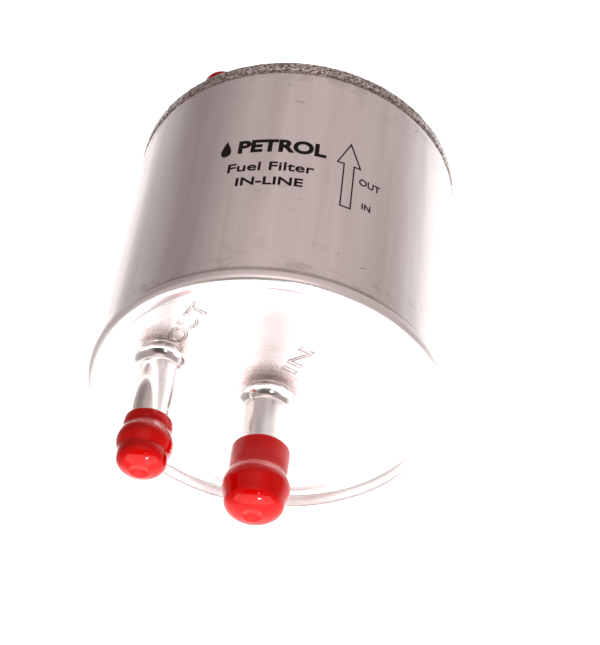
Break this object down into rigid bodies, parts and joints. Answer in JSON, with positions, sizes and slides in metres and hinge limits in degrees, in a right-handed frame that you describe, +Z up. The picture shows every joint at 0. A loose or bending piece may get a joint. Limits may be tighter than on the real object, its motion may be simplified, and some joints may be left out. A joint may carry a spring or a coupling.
{
  "type": "fuel filter",
  "caption": "Drawn aluminium in-line petrol filter with pipes at both ends, pull-off dust caps, a pleated element and a pressure regulator inside.",
  "frame": {"origin": "under the middle of the whole filter's box, on the surface that it lies on", "axes": "+Y along the can's axis from the two-pipe inlet end to the outlet end, +Z up, the off-centre return pipe on the -X side"},
  "size_m": [0.0762, 0.1272, 0.0762],
  "materials": {
    "can_aluminium": "satin drawn aluminium with faint lengthwise streaks",
    "cover_aluminium": "satin pressed aluminium with faint turned rings",
    "pipe_steel": "bright satin steel",
    "cap_vinyl": "glossy dipped vinyl",
    "zinc_steel": "zinc-plated pressed steel",
    "spring_steel": "drawn spring wire",
    "seal_rubber": "matt black rubber",
    "paper": "resin-cured filter paper",
    "adhesive": "set potting resin",
    "nylon": "moulded nylon"
  },
  "bodies": {
    "filter": {"can_body": "can_aluminium", "inlet_cover": "cover_aluminium", "outlet_cover": "cover_aluminium", "inlet_seam_seal": "seal_rubber", "outlet_seam_seal": "seal_rubber", "inlet_stub": "pipe_steel", "return_stub": "pipe_steel", "outlet_stub": "pipe_steel", "filter_paper": "paper", "seam_clip": "zinc_steel", "centre_tube": "zinc_steel", "inlet_end_disc": "zinc_steel", "outlet_end_disc": "zinc_steel", "inlet_adhesive": "adhesive", "outlet_adhesive": "adhesive", "wall_seal": "seal_rubber", "outlet_spacer": "nylon", "element_spring": "spring_steel", "spring_cup": "zinc_steel", "regulator_body": "zinc_steel", "regulator_screen": "zinc_steel", "regulator_seat": "pipe_steel", "regulator_spring": "spring_steel", "regulator_spring_plate": "zinc_steel", "regulator_o_ring": "seal_rubber"},
    "inlet_cap": {"inlet_cap": "cap_vinyl"},
    "return_cap": {"return_cap": "cap_vinyl"},
    "outlet_cap": {"outlet_cap": "cap_vinyl"},
    "valve": {"regulator_valve": "pipe_steel"}
  },
  "joints": [
    {"name": "inlet_cap_pull", "type": "slide", "parent": "filter", "child": "inlet_cap", "axis": [0, -1, 0], "range_m": [0, 0.025]},
    {"name": "return_cap_pull", "type": "slide", "parent": "filter", "child": "return_cap", "axis": [0, -1, 0], "range_m": [0, 0.025]},
    {"name": "outlet_cap_pull", "type": "slide", "parent": "filter", "child": "outlet_cap", "axis": [0, 1, 0], "range_m": [0, 0.025]},
    {"name": "regulator_lift", "type": "slide", "parent": "filter", "child": "valve", "axis": [0, -1, 0], "range_m": [0, 0.0015], "stiffness_N_per_m": 2000, "springref_m": -0.002, "deforming": ["regulator_spring"]}
  ]
}
